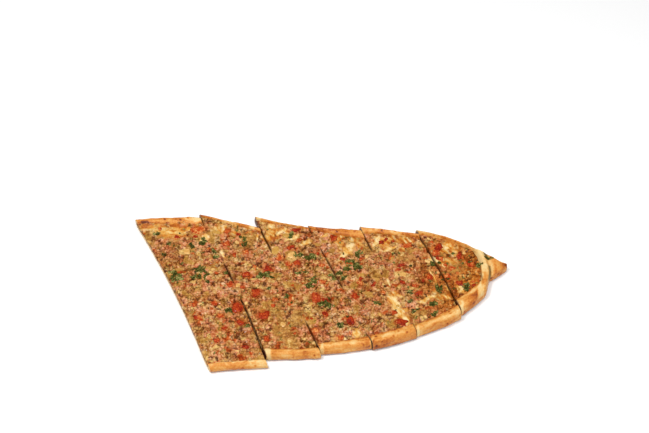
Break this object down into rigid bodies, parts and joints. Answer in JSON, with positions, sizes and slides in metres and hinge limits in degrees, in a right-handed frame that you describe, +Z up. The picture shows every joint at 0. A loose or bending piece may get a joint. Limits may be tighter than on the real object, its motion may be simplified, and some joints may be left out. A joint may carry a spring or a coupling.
{
  "type": "half minced-meat pide in slices",
  "caption": "Half of a boat-shaped flatbread with raised rims and a pinched tip, filled with minced meat, tomato and parsley and cut in slanted slices.",
  "frame": {"origin": "middle of the box round the slices, on the face that they rest on", "axes": "+X along the pide towards its pinched tip, +Y across it, +Z up"},
  "size_m": [0.2708, 0.1384, 0.0103],
  "materials": {
    "dough": "baked dough, golden with browned patches, satin where it is greased",
    "topping": "moist minced meat with diced tomato and parsley"
  },
  "bodies": {
    "root": {"slice_1_dough": "dough", "slice_1_topping": "topping", "slice_2_dough": "dough", "slice_2_topping": "topping", "slice_3_dough": "dough", "slice_3_topping": "topping", "slice_4_dough": "dough", "slice_4_topping": "topping", "slice_5_dough": "dough", "slice_5_topping": "topping", "slice_6_dough": "dough", "slice_6_topping": "topping"}
  },
  "joints": []
}
